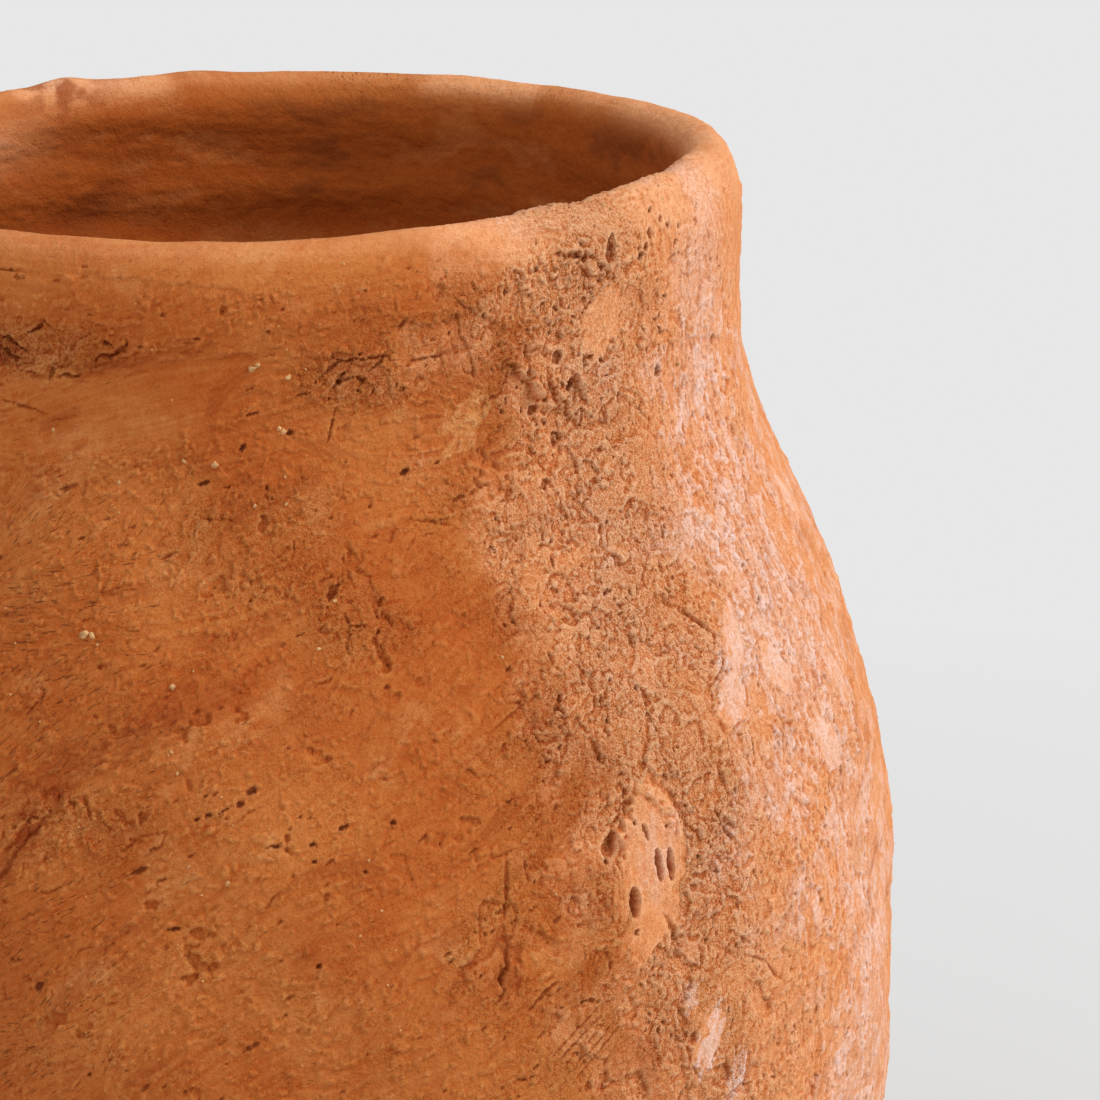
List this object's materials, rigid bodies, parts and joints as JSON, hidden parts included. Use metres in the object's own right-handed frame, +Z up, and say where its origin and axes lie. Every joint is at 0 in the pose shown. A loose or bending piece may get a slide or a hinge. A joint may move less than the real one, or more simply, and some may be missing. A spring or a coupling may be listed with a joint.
{
  "type": "terracotta jar planter",
  "caption": "Hand-built unglazed terracotta jar with a wide rolled lip, a swelling belly, a flat base to stand on and a drain hole, for planting.",
  "frame": {"origin": "middle of the flat base, on the surface that the jar stands on", "axes": "+Z up through the mouth, -Y towards the front that the picture shows"},
  "size_m": [0.2396, 0.2404, 0.3022],
  "materials": {
    "terracotta": "matte",
    "pale_grit": "matte"
  },
  "bodies": {
    "root": {"jar": "terracotta"}
  },
  "joints": []
}
